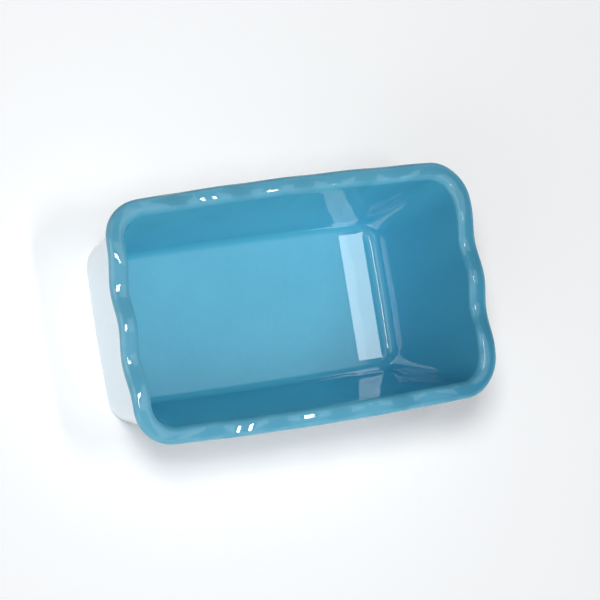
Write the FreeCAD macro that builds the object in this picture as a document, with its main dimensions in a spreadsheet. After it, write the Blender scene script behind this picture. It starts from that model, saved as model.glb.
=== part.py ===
import FreeCAD, Part
import Sketcher
import math
import os

# Ruffled loaf pan in glazed stoneware, standing on its foot ring.
# +Z is up through the open top, +X runs along the pan, and the origin is on the table
# under the middle of the pan.  All sizes are in millimetres and degrees.
#
# The wall is described once, as a profile of (inset, height) points.  An inset is the
# horizontal distance in from the widest line of the lip.  Every profile point is swept
# round the pan along an outline of its own, and the outlines are skinned with one
# smooth surface.  The glaze coats lie on exactly that surface.

DIMENSIONS = [
    ("lip_length", 265.2, "clay length across the lip"),
    ("lip_width", 154.4, "clay width across the lip"),
    ("width_share", 0.88, "inset across the pan for each unit of inset along it"),
    ("corner_radius", 23.0, "plan radius of the lip's corners"),
    ("corner_shrink", 0.38, "loss of corner radius for each unit of inset, outside"),
    ("mouth_shrink", 0.8, "loss of corner radius for each unit of inset, inside"),
    ("bow_long", 3.2, "outward bow of the long sides at the lip"),
    ("bow_short", 2.4, "outward bow of the short sides at the lip"),
    ("bow_fade", 50.0, "inset at which the bow would be gone"),
    ("crest_pitch_long", 49.0, "distance between ruffle crests on the long sides"),
    ("crest_pitch_short", 47.0, "distance between ruffle crests on the short sides"),
    ("ruffle_rise", 1.95, "rise of a crest above the mean lip"),
    ("corner_lift", -0.2, "height of a corner's dip as a share of the crests' rise"),
    ("ruffle_top", 68.0, "height above which the ruffle is at its full rise"),
    ("ruffle_foot", 42.0, "height below which the wall is level"),
    ("lip_top", 75.0, "mean height of the lip's upper face"),
    ("lip_crown", 0.5, "fall of the upper face from its middle to the lip's tip"),
    ("crown_share", 0.17, "share of that fall reached half way to the tip"),
    ("lip_flat", 7.9, "inset at which the lip starts to turn down into the pan"),
    ("lip_turn", 4.4, "radius of that turn"),
    ("tip_depth", 3.2, "depth of the lip's rounded tip"),
    ("tip_half", 2.3, "half the thickness of the lip at its tip"),
    ("cove_radius", 4.5, "radius under the lip, where it meets the outer wall"),
    ("wall_inset", 8.1, "inset of the outer wall at the bottom of that radius"),
    ("inner_draft", 18.0, "lean of the inner wall"),
    ("outer_draft", 12.6, "lean of the outer wall"),
    ("floor_height", 6.0, "height of the clay floor inside"),
    ("floor_radius", 7.5, "radius between the inner wall and the floor"),
    ("floor_rim", 3.0, "level edge of the floor, inside that radius"),
    ("base_radius", 6.0, "radius between the outer wall and the foot"),
    ("foot_inset", 28.4, "inset of the outer edge of the flat foot"),
    ("foot_ring", 4.2, "width of the dry foot ring"),
    ("recess_depth", 1.2, "depth of the recess inside the foot ring"),
    ("recess_radius", 9.0, "plan radius of the recess's corners"),
    ("glaze", 0.45, "thickness of a glaze coat"),
    ("glaze_gap", 0.6, "bare clay between the underside glaze and the foot ring"),
    ("poles_per_wave", 12.0, "control points from one ruffle crest to the next"),
    ("wall_rows", 8.0, "control rows up a wall"),
    ("turn_rows", 6.0, "control rows round a turn"),
    ("colour_rows", 4.0, "control rows from the cove back to the line between the colours"),
    ("wiped_rows", 3.0, "control rows from the foot back to the wiped edge of the glaze"),
]

doc = FreeCAD.newDocument("LoafPan")
sheet = doc.addObject("Spreadsheet::Sheet", "Dimensions")
for row, (alias, value, note) in enumerate(DIMENSIONS, start=1):
    sheet.set(f"A{row}", note)
    sheet.set(f"B{row}", str(value))
    sheet.setAlias(f"B{row}", alias)
doc.recompute()


def size(alias):
    """One driving dimension, read back from the sheet."""
    return float(sheet.get(alias))


# ---------------------------------------------------------------- the wall's profile

def arc(centre, radii, start, stop, rows):
    """Profile points round an arc, as (inset, height); angles in degrees."""
    points = []
    for step in range(rows + 1):
        angle = math.radians(start + (stop - start) * step / rows)
        inset = centre[0] + radii[0] * math.cos(angle)
        height = centre[1] + radii[1] * math.sin(angle)
        points.append((inset, height))
    return points


def between(first, last, rows):
    """Profile points strictly between two others, evenly spaced."""
    points = []
    for step in range(1, rows):
        share = step / rows
        inset = first[0] + (last[0] - first[0]) * share
        height = first[1] + (last[1] - first[1]) * share
        points.append((inset, height))
    return points


def fillet_reach(radius, draft):
    """Distance from where a leaning wall would meet the flat to where its fillet ends."""
    return radius * math.tan(math.radians((90.0 - draft) / 2.0))


def wall_profile():
    """Profile from the floor, over the lip, to the foot, and the rows that divide it."""
    turn_rows = int(size("turn_rows"))
    wall_rows = int(size("wall_rows"))
    inner_draft = size("inner_draft")
    outer_draft = size("outer_draft")
    inner_slope = math.tan(math.radians(inner_draft))
    outer_slope = math.tan(math.radians(outer_draft))

    # The turn from the inner wall to the lip's upper face.
    turn = size("lip_turn")
    turn_centre = (size("lip_flat"), size("lip_top") - turn)
    lip_turn = arc(turn_centre, (turn, turn), inner_draft, 90.0, turn_rows)

    # The fillet between the floor and the inner wall.
    radius = size("floor_radius")
    floor = size("floor_height")
    wall_top = lip_turn[0]
    meeting = wall_top[0] + (wall_top[1] - floor) * inner_slope
    reach = fillet_reach(radius, inner_draft)
    floor_centre = (meeting + reach, floor + radius)
    floor_turn = arc(floor_centre, (radius, radius), -90.0, inner_draft - 180.0, turn_rows)
    floor_edge = (floor_turn[0][0] + size("floor_rim"), floor)

    # The lip's tip is half an ellipse, slightly below the middle of the upper face.
    tip_radii = (size("tip_depth"), size("tip_half"))
    tip_centre = (tip_radii[0], size("lip_top") - size("lip_crown") - tip_radii[1])
    tip = arc(tip_centre, tip_radii, 90.0, 270.0, 2 * turn_rows)
    crown_fall = size("lip_crown") * size("crown_share")
    crown = ((size("lip_flat") + tip_radii[0]) / 2.0, size("lip_top") - crown_fall)

    # The cove under the lip.
    cove = size("cove_radius")
    lip_under = tip_centre[1] - tip_radii[1]
    cove_inset = size("wall_inset") - cove * math.cos(math.radians(outer_draft))
    cove_centre = (cove_inset, lip_under - cove)
    cove_turn = arc(cove_centre, (cove, cove), 90.0, outer_draft, turn_rows)

    # The fillet between the outer wall and the foot.
    radius = size("base_radius")
    wall_top = cove_turn[-1]
    meeting = wall_top[0] + wall_top[1] * outer_slope
    base_centre = (meeting + fillet_reach(radius, outer_draft), radius)
    base_turn = arc(base_centre, (radius, radius), outer_draft - 180.0, -90.0, turn_rows)

    profile = [floor_edge]
    profile += floor_turn
    profile += between(floor_turn[-1], lip_turn[0], wall_rows)
    profile += lip_turn
    profile.append(crown)
    profile += tip
    widest_line = len(profile) - 1 - turn_rows
    # The two colours meet under the lip.
    colour_line = len(profile) - 1 - int(size("colour_rows"))
    profile += cove_turn
    profile += between(cove_turn[-1], base_turn[0], wall_rows)
    profile += base_turn
    # The outer coat is wiped off just above the foot.
    wiped_line = len(profile) - 1 - int(size("wiped_rows"))
    profile.append((size("foot_inset"), 0.0))
    return profile, widest_line, colour_line, wiped_line


# --------------------------------------------------------------- outlines of the pan

def along_quarter(distance, half_x, half_y, radius):
    """Point on a rounded rectangle, a distance on from the middle of its +X side."""
    side = half_y - radius
    bend = radius * math.pi / 2.0
    if distance <= side:
        return half_x, distance
    if distance <= side + bend:
        angle = (distance - side) / radius
        return half_x - radius + radius * math.cos(angle), side + radius * math.sin(angle)
    return half_x - radius - (distance - side - bend), half_y


def outer_corner(inset):
    """Plan radius of the corners on the outside of the pan."""
    return size("corner_radius") - inset * size("corner_shrink")


def inner_corner(inset, height):
    """Plan radius of the corners inside, which the lean of the wall leaves as it is."""
    drop = max(0.0, size("lip_top") - size("lip_turn") - height)
    lean = drop * math.tan(math.radians(size("inner_draft")))
    return size("corner_radius") - (inset - lean) * size("mouth_shrink")


def quarter_outline(inset, radius):
    """One quarter of the outline at an inset, as (x, y, lift) with equal steps per wave."""
    full_x = size("lip_length") / 2.0
    full_y = size("lip_width") / 2.0
    half_x = full_x - inset
    half_y = full_y - inset * size("width_share")
    length = half_x + half_y - 2.0 * radius + radius * math.pi / 2.0
    pitch_x = size("crest_pitch_long") * half_x / full_x
    pitch_y = size("crest_pitch_short") * half_y / full_y
    crests = [0.0, pitch_y, length - 2.0 * pitch_x, length - pitch_x, length]
    dips = [-1.0, size("corner_lift"), -1.0, -1.0]
    bow_share = 1.0 - inset / size("bow_fade")
    bow_y = size("bow_long") * bow_share
    bow_x = size("bow_short") * bow_share
    steps = int(size("poles_per_wave"))
    points = []
    for start, stop, dip in zip(crests, crests[1:], dips):
        for step in range(steps):
            share = step / steps
            x, y = along_quarter(start + (stop - start) * share, half_x, half_y, radius)
            bowed_x = x * (1.0 - bow_x / half_x * (y / half_y) ** 2)
            bowed_y = y * (1.0 - bow_y / half_y * (x / half_x) ** 2)
            fall = (1.0 - dip) * (1.0 - math.cos(2.0 * math.pi * share)) / 2.0
            points.append((bowed_x, bowed_y, 1.0 - fall))
    points.append((0.0, half_y, 1.0))
    return points


def whole_outline(inset, radius):
    """The closed outline at an inset, anticlockwise from the middle of the +X side."""
    quarter = quarter_outline(inset, radius)
    outline = list(quarter)
    outline += [(-x, y, lift) for x, y, lift in reversed(quarter[:-1])]
    outline += [(-x, -y, lift) for x, y, lift in quarter[1:]]
    outline += [(x, -y, lift) for x, y, lift in reversed(quarter[1:-1])]
    return outline


def ruffle_share(height):
    """How much of the ruffle a height takes part in: 0 low on the wall, 1 at the lip."""
    share = (height - size("ruffle_foot")) / (size("ruffle_top") - size("ruffle_foot"))
    share = min(1.0, max(0.0, share))
    return share * share * (3.0 - 2.0 * share)


def net_row(point, inside):
    """Control points of one profile point, all the way round the pan."""
    inset, height = point
    radius = inner_corner(inset, height) if inside else outer_corner(inset)
    rise = size("ruffle_rise") * ruffle_share(height)
    outline = whole_outline(inset, radius)
    return [FreeCAD.Vector(x, y, height + rise * lift) for x, y, lift in outline]


def raised_net(net, thickness):
    """The net moved out of the clay along its own normals."""
    rows = len(net)
    count = len(net[0])
    raised = []
    for row in range(rows):
        above = net[min(row + 1, rows - 1)]
        below = net[max(row - 1, 0)]
        moved = []
        for index in range(count):
            across = above[index] - below[index]
            along = net[row][(index + 1) % count] - net[row][index - 1]
            normal = across.cross(along).normalize()
            moved.append(net[row][index] + normal * thickness)
        raised.append(moved)
    return raised


def skin(net):
    """Smooth surface over a net: closed round the pan (u), open along the profile (v)."""
    degree = 3
    rows = len(net)
    count = len(net[0])
    poles = [[net[row][index] for row in range(rows)] for index in range(count)]
    knots_u = [float(knot) for knot in range(count + 1)]
    knots_v = [float(knot) for knot in range(rows - degree + 1)]
    mults_v = [degree + 1] + [1] * (len(knots_v) - 2) + [degree + 1]
    surface = Part.BSplineSurface()
    surface.buildFromPolesMultsKnots(
        poles, [1] * len(knots_u), mults_v, knots_u, knots_v, True, False, degree, degree
    )
    return surface


# ------------------------------------------------------------------ faces and solids

profile, widest_line, colour_line, wiped_line = wall_profile()
clay_net = [net_row(point, row < widest_line) for row, point in enumerate(profile)]
clay_skin = skin(clay_net)
glaze_skin = skin(raised_net(clay_net, size("glaze")))

U_START, U_END, V_START, V_END = clay_skin.bounds()
V_COLOUR = float(colour_line - 1)
V_WIPED = float(wiped_line - 1)
QUARTERS = [U_START + (U_END - U_START) * quarter / 4.0 for quarter in range(5)]
SPANS = list(zip(QUARTERS, QUARTERS[1:]))


def band(surface, low, high):
    """A skin's four faces, a quarter of the way round each, between two profile lines."""
    faces = []
    for start, stop in SPANS:
        patch = surface.copy()
        patch.segment(start, stop, low, high)
        faces.append(patch.toShape())
    return faces


def line_edges(surface, level):
    """A skin's four edges, a quarter of the way round each, along one profile line."""
    edges = []
    for start, stop in SPANS:
        curve = surface.vIso(level)
        curve.segment(start, stop)
        edges.append(curve.toShape())
    return edges


def lid(surface, level):
    """The flat face inside one level line of a skin."""
    return [Part.Face(Part.Wire(line_edges(surface, level)))]


def strip(level):
    """The edge of a glaze coat, from the clay out to the coat's surface."""
    pairs = zip(line_edges(clay_skin, level), line_edges(glaze_skin, level))
    return [Part.makeRuledSurface(inner, outer) for inner, outer in pairs]


def solid_of(faces):
    """One closed solid from faces that meet edge to edge."""
    shell = Part.Shell(faces)
    shell.sewShape()
    solid = Part.Solid(shell.Shells[0] if shell.ShapeType != "Shell" else shell)
    if solid.Volume < 0.0:
        solid.reverse()
    return solid


def feature(name, shape):
    """A document object for a free-form solid."""
    item = doc.addObject("Part::Feature", name)
    item.Shape = shape
    item.Label = name
    item.Placement = FreeCAD.Placement()
    return item


inside_band = band(clay_skin, V_START, V_COLOUR)
outside_band = band(clay_skin, V_COLOUR, V_WIPED)
foot_band = band(clay_skin, V_WIPED, V_END)
floor_lid = lid(clay_skin, V_START)
base_lid = lid(clay_skin, V_END)
colour_strip = strip(V_COLOUR)

ware_blank = feature(
    "ware_blank", solid_of(inside_band + outside_band + foot_band + floor_lid + base_lid)
)

inside_coat = band(glaze_skin, V_START, V_COLOUR) + lid(glaze_skin, V_START)
interior_glaze = feature(
    "interior_glaze", solid_of(inside_band + floor_lid + colour_strip + inside_coat)
)

outside_coat = band(glaze_skin, V_COLOUR, V_WIPED)
exterior_glaze = feature(
    "exterior_glaze", solid_of(outside_band + colour_strip + strip(V_WIPED) + outside_coat)
)


# ------------------------------------------------------------------- the pan's underside

def origin_plane(body, role):
    """One of a body's own origin planes."""
    return next(item for item in body.Origin.OriginFeatures if item.Role == role)


def rounded_sketch(body, name, length, width, radius):
    """A rounded rectangle centred on the body's XY plane, bound to three expressions."""
    sketch = body.newObject("Sketcher::SketchObject", name)
    sketch.AttachmentSupport = [(origin_plane(body, "XY_Plane"), "")]
    sketch.MapMode = "FlatFace"
    half_x = size("lip_length") / 3.0
    half_y = size("lip_width") / 3.0
    bend = size("recess_radius")
    up = FreeCAD.Vector(0, 0, 1)
    corners = [(1, 1, 0.0), (-1, 1, 90.0), (-1, -1, 180.0), (1, -1, 270.0)]
    for side_x, side_y, angle in corners:
        centre = FreeCAD.Vector(side_x * (half_x - bend), side_y * (half_y - bend), 0)
        circle = Part.Circle(centre, up, bend)
        start = math.radians(angle)
        sketch.addGeometry(Part.ArcOfCircle(circle, start, start + math.pi / 2.0), False)
    for index in range(4):
        tail = sketch.Geometry[index].EndPoint
        head = sketch.Geometry[(index + 1) % 4].StartPoint
        sketch.addGeometry(Part.LineSegment(tail, head), False)
    add = sketch.addConstraint
    for index in range(4):
        line = index + 4
        following = (index + 1) % 4
        add(Sketcher.Constraint("Tangent", index, 2, line, 1))
        add(Sketcher.Constraint("Tangent", line, 2, following, 1))
        if index % 2 == 0:
            add(Sketcher.Constraint("Horizontal", line))
        else:
            add(Sketcher.Constraint("Vertical", line))
    for index in range(1, 4):
        add(Sketcher.Constraint("Equal", 0, index))
    add(Sketcher.Constraint("Symmetric", 4, 1, 6, 1, -1, 1))
    bend_at = add(Sketcher.Constraint("Radius", 0, bend))
    width_at = add(Sketcher.Constraint("DistanceY", 6, 1, 4, 2, 2.0 * half_y))
    length_at = add(Sketcher.Constraint("DistanceX", 5, 1, 7, 1, 2.0 * half_x))
    named = [(bend_at, "bend", radius), (width_at, "width", width), (length_at, "length", length)]
    for index, label, expression in named:
        sketch.renameConstraint(index, label)
        sketch.setExpression(f"Constraints.{label}", expression)
    return sketch


RECESS_LENGTH = (
    "Dimensions.lip_length - 2 * (Dimensions.foot_inset + Dimensions.foot_ring)"
)
RECESS_WIDTH = (
    "Dimensions.lip_width - 2 * (Dimensions.foot_inset * Dimensions.width_share"
    " + Dimensions.foot_ring)"
)

# The recess is cut up into the base, and leaves the foot ring standing round it.
recess = doc.addObject("PartDesign::Body", "foot_recess")
recess_sketch = rounded_sketch(
    recess, "recess_outline", RECESS_LENGTH, RECESS_WIDTH, "Dimensions.recess_radius"
)
recess_pad = recess.newObject("PartDesign::Pad", "recess_pad")
recess_pad.Profile = recess_sketch
recess_pad.setExpression("Length", "Dimensions.recess_depth")

stoneware_body = doc.addObject("Part::Cut", "stoneware_body")
stoneware_body.Label = "stoneware_body"
stoneware_body.Base = ware_blank
stoneware_body.Tool = recess
stoneware_body.Refine = False

# The underside's coat covers the recess's ceiling and stops short of the foot ring.
underside_glaze = doc.addObject("PartDesign::Body", "underside_glaze")
underside_glaze.Label = "underside_glaze"
underside_sketch = rounded_sketch(
    underside_glaze,
    "underside_outline",
    RECESS_LENGTH + " - 2 * Dimensions.glaze_gap",
    RECESS_WIDTH + " - 2 * Dimensions.glaze_gap",
    "Dimensions.recess_radius - Dimensions.glaze_gap",
)
underside_sketch.setExpression(
    "AttachmentOffset.Base.z", "Dimensions.recess_depth - Dimensions.glaze"
)
underside_pad = underside_glaze.newObject("PartDesign::Pad", "underside_pad")
underside_pad.Profile = underside_sketch
underside_pad.setExpression("Length", "Dimensions.glaze")

doc.recompute()

# ---------------------------------------------------------------------------- output

pieces = [stoneware_body, interior_glaze, exterior_glaze, underside_glaze]

for item in doc.Objects:
    if "Invalid" in item.State or "Error" in item.State:
        raise RuntimeError(f"{item.Name} did not build")
for piece in pieces:
    if piece.Shape.isNull() or not piece.Shape.isValid() or len(piece.Shape.Solids) != 1:
        raise RuntimeError(f"{piece.Label} is not one valid solid")

os.makedirs("parts", exist_ok=True)
for piece in pieces:
    piece.Shape.exportStep(f"parts/{piece.Label}.step")
    box = piece.Shape.BoundBox
    print(
        piece.Label,
        f"volume {piece.Shape.Volume:.0f}",
        f"x {box.XMin:.2f} {box.XMax:.2f}",
        f"y {box.YMin:.2f} {box.YMax:.2f}",
        f"z {box.ZMin:.2f} {box.ZMax:.2f}",
    )
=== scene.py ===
import math

import bmesh
import bpy
from mathutils import Matrix, Vector


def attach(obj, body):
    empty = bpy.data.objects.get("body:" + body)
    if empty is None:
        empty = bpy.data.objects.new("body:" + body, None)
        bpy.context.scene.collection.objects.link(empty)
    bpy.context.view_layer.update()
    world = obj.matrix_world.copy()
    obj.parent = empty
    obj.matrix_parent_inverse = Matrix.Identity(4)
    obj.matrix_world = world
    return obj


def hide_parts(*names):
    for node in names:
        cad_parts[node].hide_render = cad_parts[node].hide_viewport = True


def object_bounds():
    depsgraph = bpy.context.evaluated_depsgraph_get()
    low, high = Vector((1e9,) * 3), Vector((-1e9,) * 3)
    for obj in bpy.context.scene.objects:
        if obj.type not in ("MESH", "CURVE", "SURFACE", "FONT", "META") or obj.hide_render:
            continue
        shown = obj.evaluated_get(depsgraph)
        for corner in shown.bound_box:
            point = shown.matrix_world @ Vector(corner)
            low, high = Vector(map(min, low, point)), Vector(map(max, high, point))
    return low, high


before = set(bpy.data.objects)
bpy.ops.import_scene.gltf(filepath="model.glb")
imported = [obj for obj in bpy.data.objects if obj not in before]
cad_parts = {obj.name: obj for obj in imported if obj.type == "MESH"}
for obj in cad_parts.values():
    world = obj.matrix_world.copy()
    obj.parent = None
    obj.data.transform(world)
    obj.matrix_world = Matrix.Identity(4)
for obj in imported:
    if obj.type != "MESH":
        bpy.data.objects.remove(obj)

# Ruffled loaf pan in glazed stoneware.  The two visible glaze coats are control cages
# under a Subsurf, on the same control points that the CAD skins use, so the coats lie
# exactly where the frame has them.  The clay and the underside's coat are the frame's own.

CAD_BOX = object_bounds()
MM = 0.001

# ------------------------------------------------------------- sizes of the pan, in mm
LIP_LENGTH = 265.2
LIP_WIDTH = 154.4
WIDTH_SHARE = 0.88
CORNER_RADIUS = 23.0
CORNER_SHRINK = 0.38
MOUTH_SHRINK = 0.8
BOW_LONG = 3.2
BOW_SHORT = 2.4
BOW_FADE = 50.0
CREST_PITCH_LONG = 49.0
CREST_PITCH_SHORT = 47.0
RUFFLE_RISE = 1.95
CORNER_LIFT = -0.2
RUFFLE_TOP = 68.0
RUFFLE_FOOT = 42.0
LIP_TOP = 75.0
LIP_CROWN = 0.5
CROWN_SHARE = 0.17
LIP_FLAT = 7.9
LIP_TURN = 4.4
TIP_DEPTH = 3.2
TIP_HALF = 2.3
COVE_RADIUS = 4.5
WALL_INSET = 8.1
INNER_DRAFT = 18.0
OUTER_DRAFT = 12.6
FLOOR_HEIGHT = 6.0
FLOOR_RADIUS = 7.5
FLOOR_RIM = 3.0
BASE_RADIUS = 6.0
FOOT_INSET = 28.4
GLAZE = 0.45
POLES_PER_WAVE = 12
WALL_ROWS = 8
TURN_ROWS = 6
COLOUR_ROWS = 4
WIPED_ROWS = 3

# ------------- glaze marks and the lip's painted shade on the coats: how strong, and over how many rows they fade
THIN_PER_BEND = 3.0
POOL_PER_BEND = 6.0
FLOOR_FLOW = 0.05
WALL_FLOW = 0.60
LIP_FLOW = 0.04
FLOW_FADE_ROWS = 3
LIP_SHADE_FADE_ROWS = 4


# ---------------------------------------------------------------- the wall's profile

def arc(centre, radii, start, stop, rows):
    """Profile points round an arc, as (inset, height); angles in degrees."""
    points = []
    for step in range(rows + 1):
        angle = math.radians(start + (stop - start) * step / rows)
        points.append((centre[0] + radii[0] * math.cos(angle),
                       centre[1] + radii[1] * math.sin(angle)))
    return points


def between(first, last, rows):
    """Profile points strictly between two others, evenly spaced."""
    points = []
    for step in range(1, rows):
        share = step / rows
        points.append((first[0] + (last[0] - first[0]) * share,
                       first[1] + (last[1] - first[1]) * share))
    return points


def fillet_reach(radius, draft):
    """Distance from where a leaning wall would meet the flat to where its fillet ends."""
    return radius * math.tan(math.radians((90.0 - draft) / 2.0))


def wall_profile():
    """Profile from the floor, over the lip, to the foot, and the rows that divide it."""
    turn_centre = (LIP_FLAT, LIP_TOP - LIP_TURN)
    lip_turn = arc(turn_centre, (LIP_TURN, LIP_TURN), INNER_DRAFT, 90.0, TURN_ROWS)

    rise = lip_turn[0][1] - FLOOR_HEIGHT
    meeting = lip_turn[0][0] + rise * math.tan(math.radians(INNER_DRAFT))
    floor_centre = (meeting + fillet_reach(FLOOR_RADIUS, INNER_DRAFT),
                    FLOOR_HEIGHT + FLOOR_RADIUS)
    floor_turn = arc(floor_centre, (FLOOR_RADIUS, FLOOR_RADIUS),
                     -90.0, INNER_DRAFT - 180.0, TURN_ROWS)
    floor_edge = (floor_turn[0][0] + FLOOR_RIM, FLOOR_HEIGHT)

    tip_centre = (TIP_DEPTH, LIP_TOP - LIP_CROWN - TIP_HALF)
    tip = arc(tip_centre, (TIP_DEPTH, TIP_HALF), 90.0, 270.0, 2 * TURN_ROWS)
    crown = ((LIP_FLAT + TIP_DEPTH) / 2.0, LIP_TOP - LIP_CROWN * CROWN_SHARE)

    cove_centre = (WALL_INSET - COVE_RADIUS * math.cos(math.radians(OUTER_DRAFT)),
                   tip_centre[1] - TIP_HALF - COVE_RADIUS)
    cove_turn = arc(cove_centre, (COVE_RADIUS, COVE_RADIUS), 90.0, OUTER_DRAFT, TURN_ROWS)

    fall = cove_turn[-1][1]
    meeting = cove_turn[-1][0] + fall * math.tan(math.radians(OUTER_DRAFT))
    base_centre = (meeting + fillet_reach(BASE_RADIUS, OUTER_DRAFT), BASE_RADIUS)
    base_turn = arc(base_centre, (BASE_RADIUS, BASE_RADIUS),
                    OUTER_DRAFT - 180.0, -90.0, TURN_ROWS)

    profile = [floor_edge] + floor_turn + between(floor_turn[-1], lip_turn[0], WALL_ROWS)
    profile += lip_turn + [crown] + tip
    widest_line = len(profile) - 1 - TURN_ROWS
    colour_line = len(profile) - 1 - COLOUR_ROWS
    profile += cove_turn + between(cove_turn[-1], base_turn[0], WALL_ROWS) + base_turn
    wiped_line = len(profile) - 1 - WIPED_ROWS
    profile.append((FOOT_INSET, 0.0))
    return profile, widest_line, colour_line, wiped_line


# --------------------------------------------------------------- outlines of the pan

def along_quarter(distance, half_x, half_y, radius):
    """Point on a rounded rectangle, a distance on from the middle of its +X side."""
    side = half_y - radius
    bend = radius * math.pi / 2.0
    if distance <= side:
        return half_x, distance
    if distance <= side + bend:
        angle = (distance - side) / radius
        return (half_x - radius + radius * math.cos(angle),
                side + radius * math.sin(angle))
    return half_x - radius - (distance - side - bend), half_y


def outer_corner(inset):
    """Plan radius of the corners on the outside of the pan."""
    return CORNER_RADIUS - inset * CORNER_SHRINK


def inner_corner(inset, height):
    """Plan radius of the corners inside, which the lean of the wall leaves as it is."""
    drop = max(0.0, LIP_TOP - LIP_TURN - height)
    lean = drop * math.tan(math.radians(INNER_DRAFT))
    return CORNER_RADIUS - (inset - lean) * MOUTH_SHRINK


def quarter_outline(inset, radius):
    """One quarter of the outline at an inset, as (x, y, lift) with equal steps per wave."""
    full_x = LIP_LENGTH / 2.0
    full_y = LIP_WIDTH / 2.0
    half_x = full_x - inset
    half_y = full_y - inset * WIDTH_SHARE
    length = half_x + half_y - 2.0 * radius + radius * math.pi / 2.0
    pitch_x = CREST_PITCH_LONG * half_x / full_x
    pitch_y = CREST_PITCH_SHORT * half_y / full_y
    crests = [0.0, pitch_y, length - 2.0 * pitch_x, length - pitch_x, length]
    dips = [-1.0, CORNER_LIFT, -1.0, -1.0]
    bow_share = 1.0 - inset / BOW_FADE
    points = []
    for start, stop, dip in zip(crests, crests[1:], dips):
        for step in range(POLES_PER_WAVE):
            share = step / POLES_PER_WAVE
            x, y = along_quarter(start + (stop - start) * share, half_x, half_y, radius)
            bowed_x = x * (1.0 - BOW_SHORT * bow_share / half_x * (y / half_y) ** 2)
            bowed_y = y * (1.0 - BOW_LONG * bow_share / half_y * (x / half_x) ** 2)
            fall = (1.0 - dip) * (1.0 - math.cos(2.0 * math.pi * share)) / 2.0
            points.append((bowed_x, bowed_y, 1.0 - fall))
    points.append((0.0, half_y, 1.0))
    return points


def whole_outline(inset, radius):
    """The closed outline at an inset, anticlockwise from the middle of the +X side."""
    quarter = quarter_outline(inset, radius)
    outline = list(quarter)
    outline += [(-x, y, lift) for x, y, lift in reversed(quarter[:-1])]
    outline += [(-x, -y, lift) for x, y, lift in quarter[1:]]
    outline += [(x, -y, lift) for x, y, lift in reversed(quarter[1:-1])]
    return outline


def ruffle_share(height):
    """How much of the ruffle a height takes part in: 0 low on the wall, 1 at the lip."""
    share = min(1.0, max(0.0, (height - RUFFLE_FOOT) / (RUFFLE_TOP - RUFFLE_FOOT)))
    return share * share * (3.0 - 2.0 * share)


def net_row(point, inside):
    """Control points of one profile point, all the way round the pan."""
    inset, height = point
    radius = inner_corner(inset, height) if inside else outer_corner(inset)
    rise = RUFFLE_RISE * ruffle_share(height)
    outline = whole_outline(inset, radius)
    return [Vector((x, y, height + rise * lift)) for x, y, lift in outline]


def raised_net(net, thickness):
    """The net moved out of the clay along its own normals."""
    count = len(net[0])
    raised = []
    for row, points in enumerate(net):
        above = net[min(row + 1, len(net) - 1)]
        below = net[max(row - 1, 0)]
        moved = []
        for index in range(count):
            across = above[index] - below[index]
            along = points[(index + 1) % count] - points[index - 1]
            moved.append(points[index] + across.cross(along).normalized() * thickness)
        raised.append(moved)
    return raised


def trimmed(net, row):
    """The row of points that a skin passes through at one control row."""
    return [(before + 4.0 * here + after) / 6.0
            for before, here, after in zip(net[row - 1], net[row], net[row + 1])]


def bend_at(profile, row):
    """How sharply the profile turns at a row, per mm: above 0 convex, below 0 hollow."""
    before = Vector(profile[max(row - 1, 0)])
    here = Vector(profile[row])
    after = Vector(profile[min(row + 1, len(profile) - 1)])
    first = here - before
    second = after - here
    if first.length < 1e-6 or second.length < 1e-6:
        return 0.0
    turn = first.x * second.y - first.y * second.x
    turn = math.asin(max(-1.0, min(1.0, turn / (first.length * second.length))))
    return turn * 2.0 / (first.length + second.length)


# --------------------------------------------------------------------- glaze coats

def floor_grid(ring):
    """Grid of (ring index or point) that fills the outline inside the floor's edge.

    The ring's corners stand half a side's points from the middle of its +X side.
    """
    count = len(ring)
    across = 3 * POLES_PER_WAVE
    along = count // 2 - across
    right_foot = -across // 2
    left_top = across // 2 + along
    left_foot = left_top + across
    rows = []
    for j in range(across + 1):
        v = j / across
        row = []
        for i in range(along + 1):
            u = i / along
            left = ring[left_foot - j]
            right = ring[right_foot + j]
            foot = ring[(left_foot + i) % count]
            top = ring[left_top - i]
            if i == 0:
                row.append(left_foot - j)
            elif i == along:
                row.append((right_foot + j) % count)
            elif j == 0:
                row.append((left_foot + i) % count)
            elif j == across:
                row.append(left_top - i)
            else:
                sides = left * (1 - u) + right * u + foot * (1 - v) + top * v
                corners = (ring[left_foot] * (1 - u) * (1 - v) + ring[right_foot] * u * (1 - v)
                           + ring[left_top] * (1 - u) * v + ring[across // 2] * u * v)
                row.append(sides - corners)
        rows.append(row)
    return rows


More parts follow.
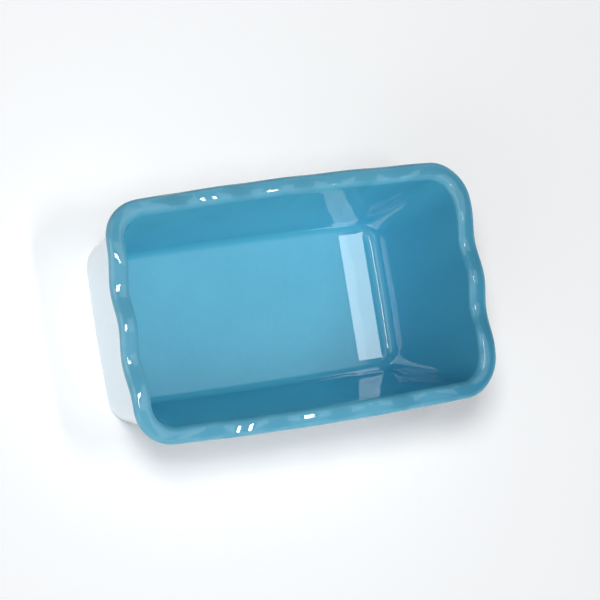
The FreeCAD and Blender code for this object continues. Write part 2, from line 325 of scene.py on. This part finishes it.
class Cage:
    """A closed control cage, built ring by ring, with its glaze marks and the lip's painted
    shade on the vertices.
    """

    def __init__(self):
        self.mesh = bmesh.new()
        self.thin = self.mesh.verts.layers.float.new("glaze_thin")
        self.pool = self.mesh.verts.layers.float.new("glaze_pool")
        self.flow = self.mesh.verts.layers.float.new("glaze_flow")
        self.rim = self.mesh.verts.layers.float.new("lip_painted_shade")
        self.crease = self.mesh.edges.layers.float.new("crease_edge")

    def ring(self, points, bend=0.0, flow=FLOOR_FLOW, rim=0.0):
        verts = [self.mesh.verts.new(point * MM) for point in points]
        for vert in verts:
            vert[self.thin] = max(0.0, min(1.0, bend * THIN_PER_BEND))
            vert[self.pool] = max(0.0, min(1.0, -bend * POOL_PER_BEND))
            vert[self.flow] = flow
            vert[self.rim] = rim
        return verts

    def join(self, first, second):
        for index, vert in enumerate(first):
            following = (index + 1) % len(first)
            self.mesh.faces.new((vert, second[index], second[following], first[following]))

    def fill(self, ring, facing_up):
        grid = floor_grid([vert.co / MM for vert in ring])
        verts = [[ring[item] if isinstance(item, int) else self.ring([item])[0]
                  for item in row] for row in grid]
        for low, high in zip(verts, verts[1:]):
            for index in range(len(low) - 1):
                corners = (low[index], low[index + 1], high[index + 1], high[index])
                self.mesh.faces.new(corners if facing_up else corners[::-1])

    def sharpen(self, ring):
        for index, vert in enumerate(ring):
            edge = self.mesh.edges.get((vert, ring[index - 1]))
            edge[self.crease] = 1.0
            edge.smooth = False

    def finish(self, name, material):
        for face in self.mesh.faces:
            face.smooth = True
        data = bpy.data.meshes.new(name)
        self.mesh.to_mesh(data)
        self.mesh.free()
        coat = bpy.data.objects.new(name, data)
        bpy.context.scene.collection.objects.link(coat)
        data.materials.append(material)
        smooth = coat.modifiers.new("smooth_skin", "SUBSURF")
        smooth.levels = 1
        smooth.render_levels = 1
        return coat


PROFILE, WIDEST_LINE, COLOUR_LINE, WIPED_LINE = wall_profile()
CLAY_NET = [net_row(point, row < WIDEST_LINE) for row, point in enumerate(PROFILE)]
GLAZE_NET = raised_net(CLAY_NET, GLAZE)


def flow_at(row):
    """How unevenly the inside coat lies: even on the floor and the lip, wavy on the walls."""
    wall_foot = TURN_ROWS + 1
    wall_top = wall_foot + WALL_ROWS
    climb = min(1.0, max(0.0, (row - wall_foot) / FLOW_FADE_ROWS))
    calm = min(1.0, max(0.0, (row - wall_top) / FLOW_FADE_ROWS))
    return FLOOR_FLOW + (WALL_FLOW - FLOOR_FLOW) * climb - (WALL_FLOW - LIP_FLOW) * calm


def lip_shade_at(row):
    """How far a row belongs to the lip, where the inside coat's colour is painted darker as
    shade.
    """
    return min(1.0, max(0.0, (row - TURN_ROWS - WALL_ROWS - 2) / LIP_SHADE_FADE_ROWS))


def inside_coat(material):
    """The coat over the floor, the inner wall and the lip, as far as the colour line."""
    cage = Cage()
    outer = [cage.ring(GLAZE_NET[row], bend_at(PROFILE, row), flow_at(row), lip_shade_at(row))
             for row in range(COLOUR_LINE)]
    outer_edge = cage.ring(trimmed(GLAZE_NET, COLOUR_LINE), rim=1.0)
    inner_edge = cage.ring(trimmed(CLAY_NET, COLOUR_LINE))
    inner = [cage.ring(CLAY_NET[row]) for row in reversed(range(COLOUR_LINE))]
    rings = outer + [outer_edge, inner_edge] + inner
    for first, second in zip(rings, rings[1:]):
        cage.join(first, second)
    cage.fill(rings[0], True)
    cage.fill(rings[-1], False)
    cage.sharpen(outer_edge)
    cage.sharpen(inner_edge)
    return cage.finish("turquoise_coat", material)


def outside_coat(material):
    """The coat from the colour line down the outer wall to the line wiped at the foot."""
    cage = Cage()
    rows = range(COLOUR_LINE + 1, WIPED_LINE)
    top_edge = cage.ring(trimmed(GLAZE_NET, COLOUR_LINE))
    outer = [cage.ring(GLAZE_NET[row], bend_at(PROFILE, row)) for row in rows]
    foot_edge = cage.ring(trimmed(GLAZE_NET, WIPED_LINE), 0.2)
    foot_inner = cage.ring(trimmed(CLAY_NET, WIPED_LINE))
    inner = [cage.ring(CLAY_NET[row]) for row in reversed(rows)]
    top_inner = cage.ring(trimmed(CLAY_NET, COLOUR_LINE))
    rings = [top_edge] + outer + [foot_edge, foot_inner] + inner + [top_inner]
    for first, second in zip(rings, rings[1:] + rings[:1]):
        cage.join(first, second)
    for ring in (top_edge, foot_edge, foot_inner, top_inner):
        cage.sharpen(ring)
    return cage.finish("white_coat", material)


# ----------------------------------------------------------------------- materials

class Nodes:
    """A material's node tree, with short calls for the nodes used here."""

    def __init__(self, name):
        self.material = bpy.data.materials.new(name)
        self.material.use_nodes = True
        self.tree = self.material.node_tree
        self.shader = self.tree.nodes["Principled BSDF"]
        self.place = self.tree.nodes.new("ShaderNodeNewGeometry").outputs["Position"]

    def link(self, source, target):
        self.tree.links.new(source, target)

    def noise(self, scale, detail=2.0, roughness=0.5):
        node = self.tree.nodes.new("ShaderNodeTexNoise")
        node.inputs["Scale"].default_value = scale
        node.inputs["Detail"].default_value = detail
        node.inputs["Roughness"].default_value = roughness
        self.link(self.place, node.inputs["Vector"])
        return node.outputs["Fac"]

    def along(self, direction):
        node = self.tree.nodes.new("ShaderNodeVectorMath")
        node.operation = "DOT_PRODUCT"
        node.inputs[1].default_value = direction
        self.link(self.place, node.inputs[0])
        return node.outputs["Value"]

    def attribute(self, name):
        node = self.tree.nodes.new("ShaderNodeAttribute")
        node.attribute_name = name
        return node.outputs["Fac"]

    def remap(self, value, low, high, to_low=0.0, to_high=1.0):
        node = self.tree.nodes.new("ShaderNodeMapRange")
        for index, number in enumerate((low, high, to_low, to_high), start=1):
            node.inputs[index].default_value = number
        self.link(value, node.inputs[0])
        return node.outputs[0]

    def math(self, operation, first, second):
        node = self.tree.nodes.new("ShaderNodeMath")
        node.operation = operation
        for socket, value in zip(node.inputs, (first, second)):
            if isinstance(value, (int, float)):
                socket.default_value = value
            else:
                self.link(value, socket)
        return node.outputs[0]

    def mix(self, factor, first, second):
        node = self.tree.nodes.new("ShaderNodeMix")
        node.data_type = "RGBA"
        self.link(factor, node.inputs[0])
        for socket, value in zip((node.inputs[6], node.inputs[7]), (first, second)):
            if isinstance(value, tuple):
                socket.default_value = (*value, 1.0)
            else:
                self.link(value, socket)
        return node.outputs[2]

    def bump(self, height, distance, strength=1.0, under=None):
        node = self.tree.nodes.new("ShaderNodeBump")
        node.inputs["Distance"].default_value = distance
        node.inputs["Strength"].default_value = strength
        self.link(height, node.inputs["Height"])
        if under is not None:
            self.link(under, node.inputs["Normal"])
        return node.outputs["Normal"]

    def drive(self, name, source):
        self.link(source, self.shader.inputs[name])

    def set(self, name, value):
        self.shader.inputs[name].default_value = value


def glaze(name, deep, body, rim, pale, clay, painted_shade_end):
    """Glossy glaze: cloudy in depth and deep where it pools, with shade painted darker on the
    lip and towards the -Y +X end.

    It is pale where it runs thin over edges, and pinholes let the clay show.
    """
    nodes = Nodes(name)
    cloud = nodes.remap(nodes.noise(14.0, 3.0), 0.35, 0.65)
    mottle = nodes.remap(nodes.noise(210.0, 3.0, 0.6), 0.3, 0.7)
    depth = nodes.math("ADD", nodes.math("MULTIPLY", cloud, 0.65),
                       nodes.math("MULTIPLY", mottle, 0.35))
    colour = nodes.mix(depth, deep, body)
    pool = nodes.math("MULTIPLY", nodes.attribute("glaze_pool"), 0.6)
    colour = nodes.mix(pool, colour, deep)
    # Painted shade: the lip's glaze is coloured darker than the rest of the inside.
    colour = nodes.mix(nodes.attribute("lip_painted_shade"), colour, rim)
    # Painted shade: the glaze colour darkens towards the -Y +X end of the pan.
    end = nodes.remap(nodes.along((1.0, -0.35, 0.0)), 0.045, 0.145, 0.0, 0.92)
    colour = nodes.mix(end, colour, painted_shade_end)
    ragged = nodes.remap(nodes.noise(90.0, 2.0), 0.3, 0.7, 0.55, 1.0)
    thin = nodes.math("MULTIPLY", nodes.attribute("glaze_thin"), ragged)
    colour = nodes.mix(nodes.remap(thin, 0.35, 1.0, 0.0, 0.55), colour, pale)
    pinholes = nodes.remap(nodes.noise(900.0, 0.0), 0.80, 0.84, 0.0, 0.35)
    colour = nodes.mix(pinholes, colour, clay)
    nodes.drive("Base Color", colour)
    nodes.drive("Roughness", nodes.remap(nodes.noise(60.0, 4.0), 0.3, 0.7, 0.040, 0.075))
    flow = nodes.attribute("glaze_flow")
    waves = nodes.bump(nodes.math("MULTIPLY", nodes.noise(32.0, 1.0), flow), 0.00006)
    peel = nodes.bump(nodes.noise(260.0, 1.0), 0.000003, under=waves)
    nodes.drive("Normal", peel)
    nodes.set("IOR", 1.52)
    return nodes.material


def bare_clay(name):
    """Unglazed fired clay: warm, matt and grainy, with dark specks and scuffs."""
    nodes = Nodes(name)
    tone = nodes.remap(nodes.noise(30.0, 4.0), 0.3, 0.7)
    colour = nodes.mix(tone, (0.60, 0.52, 0.43), (0.74, 0.68, 0.59))
    specks = nodes.remap(nodes.noise(1400.0, 1.0), 0.68, 0.74, 0.0, 0.7)
    colour = nodes.mix(specks, colour, (0.22, 0.15, 0.10))
    scuffs = nodes.remap(nodes.noise(75.0, 5.0, 0.7), 0.60, 0.72, 0.0, 0.45)
    colour = nodes.mix(scuffs, colour, (0.38, 0.36, 0.34))
    nodes.drive("Base Color", colour)
    nodes.drive("Roughness", nodes.remap(nodes.noise(500.0, 3.0), 0.3, 0.7, 0.72, 0.92))
    nodes.drive("Normal", nodes.bump(nodes.noise(1600.0, 3.0, 0.7), 0.00012))
    return nodes.material


WHITE_BODY = (0.82, 0.91, 0.95)
# The turquoise's rim and end colours are painted shade: darker on the lip and at the -Y +X
# end.
TURQUOISE = glaze("turquoise_glaze",
                  deep=(0.083, 0.440, 0.626), body=(0.103, 0.492, 0.682),
                  rim=(0.118, 0.417, 0.590), pale=(0.26, 0.58, 0.70),
                  clay=(0.14, 0.40, 0.52), painted_shade_end=(0.050, 0.250, 0.390))
WHITE = glaze("white_glaze",
              deep=(0.77, 0.87, 0.92), body=WHITE_BODY,
              rim=WHITE_BODY, pale=(0.86, 0.91, 0.93),
              clay=(0.62, 0.60, 0.56), painted_shade_end=WHITE_BODY)
CLAY = bare_clay("bare_clay")

inside = inside_coat(TURQUOISE)
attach(inside, "root")
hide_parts("interior_glaze")

outside = outside_coat(WHITE)
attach(outside, "root")
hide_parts("exterior_glaze")

for name, material in (("stoneware_body", CLAY), ("underside_glaze", WHITE)):
    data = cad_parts[name].data
    data.materials.clear()
    data.materials.append(material)


# --------------------------------------------------------------------------- stage

def floor_material():
    """Pale studio floor, evenly matt with a trace of unevenness."""
    nodes = Nodes("studio_floor")
    tone = nodes.remap(nodes.noise(1.5, 2.0), 0.3, 0.7)
    nodes.drive("Base Color", nodes.mix(tone, (0.91, 0.92, 0.93), (0.93, 0.94, 0.95)))
    nodes.set("Roughness", 0.65)
    nodes.set("Specular IOR Level", 0.2)
    nodes.set("Emission Color", (0.93, 0.96, 1.0, 1.0))
    nodes.set("Emission Strength", 0.14)
    return nodes.material


def studio_floor():
    """A round floor at the height that the pan stands on."""
    mesh = bmesh.new()
    bmesh.ops.create_circle(mesh, cap_ends=True, segments=96, radius=6.0)
    data = bpy.data.meshes.new("studio_floor")
    mesh.to_mesh(data)
    mesh.free()
    floor = bpy.data.objects.new("studio_floor", data)
    floor.location.z = CAD_BOX[0].z
    bpy.context.scene.collection.objects.link(floor)
    data.materials.append(floor_material())
    return floor


def turned(back, up):
    """Rotation of something that looks away from back, with its top towards up."""
    back = back.normalized()
    right = up.cross(back).normalized()
    return Matrix((right, back.cross(right), back)).transposed().to_quaternion()


def compass(azimuth, elevation):
    """Direction of an azimuth, anticlockwise from +X, and an elevation, in degrees."""
    level = math.cos(math.radians(elevation))
    return Vector((level * math.cos(math.radians(azimuth)),
                   level * math.sin(math.radians(azimuth)),
                   math.sin(math.radians(elevation))))


def softbox(name, direction, distance, size_across, size_along, up, radiance, colour, focus,
            lit=()):
    """A rectangular light of a set radiance that faces the pan from one direction."""
    light = bpy.data.lights.new(name, "AREA")
    light.shape = "RECTANGLE"
    light.size = size_across
    light.size_y = size_along
    light.energy = radiance * math.pi * size_across * size_along
    light.color = colour
    lamp = bpy.data.objects.new(name, light)
    lamp.location = focus + direction.normalized() * distance
    lamp.rotation_mode = "QUATERNION"
    lamp.rotation_quaternion = turned(direction, up)
    bpy.context.scene.collection.objects.link(lamp)
    if lit:
        group = bpy.data.collections.new(name + "_lights")
        for item in lit:
            group.objects.link(item)
        lamp.light_linking.receiver_collection = group
    return lamp


PANEL_FOCUS = 8.0


def studio_walls(colour, panels):
    """Soft broad light from all round: (azimuth, elevation, brightness) for each panel."""
    world = bpy.data.worlds.new("studio_walls")
    world.use_nodes = True
    tree = world.node_tree
    direction = tree.nodes.new("ShaderNodeTexCoord").outputs["Generated"]
    total = None
    for azimuth, elevation, brightness in panels:
        facing = tree.nodes.new("ShaderNodeVectorMath")
        facing.operation = "DOT_PRODUCT"
        facing.inputs[1].default_value = compass(azimuth, elevation)
        tree.links.new(direction, facing.inputs[0])
        value = facing.outputs["Value"]
        for operation, number in (("MAXIMUM", 0.0), ("POWER", PANEL_FOCUS),
                                  ("MULTIPLY", brightness)):
            step = tree.nodes.new("ShaderNodeMath")
            step.operation = operation
            step.inputs[1].default_value = number
            tree.links.new(value, step.inputs[0])
            value = step.outputs[0]
        if total is not None:
            add = tree.nodes.new("ShaderNodeMath")
            tree.links.new(total, add.inputs[0])
            tree.links.new(value, add.inputs[1])
            value = add.outputs[0]
        total = value
    background = tree.nodes["Background"]
    background.inputs["Color"].default_value = (*colour, 1.0)
    tree.links.new(total, background.inputs["Strength"])
    bpy.context.scene.world = world


Y_AXIS = Vector((0.0, 1.0, 0.0))
Z_AXIS = Vector((0.0, 0.0, 1.0))
WHITE_LIGHT = (1.0, 1.0, 1.0)
COOL_LIGHT = (0.98, 0.99, 1.0)
MIDDLE = Vector((0.0, 0.0, 0.03))
LIP = Vector((0.0, 0.0, 0.075))
FRONT = compass(298.0, 61.0)

FLOOR = studio_floor()
PAN = [inside, outside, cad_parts["stoneware_body"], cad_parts["underside_glaze"]]

# The strip shows only as the bright stripe mirrored in the pan's floor.
inside_floor = Vector((0.0826, 0.0006, (FLOOR_HEIGHT + GLAZE) * MM))
strip = softbox("window_strip", Z_AXIS, 0.002, 0.0176, 0.081, Y_AXIS,
                7.2, WHITE_LIGHT, inside_floor, [inside])
strip.visible_camera = False
strip.visible_diffuse = False

softbox("overhead_lamp", Vector((0.044, -0.058, 1.0)), 1.0, 0.070, 0.32, Y_AXIS,
        30.0, WHITE_LIGHT, LIP)
softbox("key_light", compass(160.0, 58.0), 1.6, 0.7, 0.7, Z_AXIS,
        1.7, (1.0, 0.985, 0.96), MIDDLE, PAN)
softbox("floor_light", compass(157.0, 60.0), 6.0, 1.6, 1.6, Z_AXIS,
        25.5, (1.0, 0.985, 0.97), Vector(), [FLOOR])
softbox("right_fill", compass(4.0, 64.0), 1.6, 0.9, 0.9, Y_AXIS,
        1.2, COOL_LIGHT, MIDDLE, PAN)
front_fill = softbox("front_fill", FRONT, 1.6, 1.1, 1.1, Z_AXIS,
                     2.4, COOL_LIGHT, MIDDLE, PAN)
front_fill.visible_glossy = False

# The front fill is too bright to mirror in the lip, so a dimmer card behind it does.
softbox("front_card", FRONT, 1.7, 1.1, 1.1, Z_AXIS,
        0.4, COOL_LIGHT, MIDDLE, PAN)
studio_walls((0.90, 0.95, 1.0), [(205.0, 28.0, 1.55), (225.0, 60.0, 0.30)])

# The camera looks down on the pan from beyond its -X end, with +Y near the picture's top.
camera = bpy.data.cameras.new("camera")
camera.sensor_width = 36.0
camera.lens = 269.6
camera.clip_start = 0.1
camera.clip_end = 50.0
viewer = bpy.data.objects.new("camera", camera)
viewer.location = (-1.4304, -0.1056, 2.4559)
viewer.rotation_mode = "QUATERNION"
viewer.rotation_quaternion = turned(Vector((-0.5134, -0.0383, 0.8573)),
                                    Vector((0.1200, 0.9860, 0.1159)))
bpy.context.scene.collection.objects.link(viewer)
bpy.context.scene.camera = viewer
bpy.context.scene.view_settings.view_transform = "Standard"
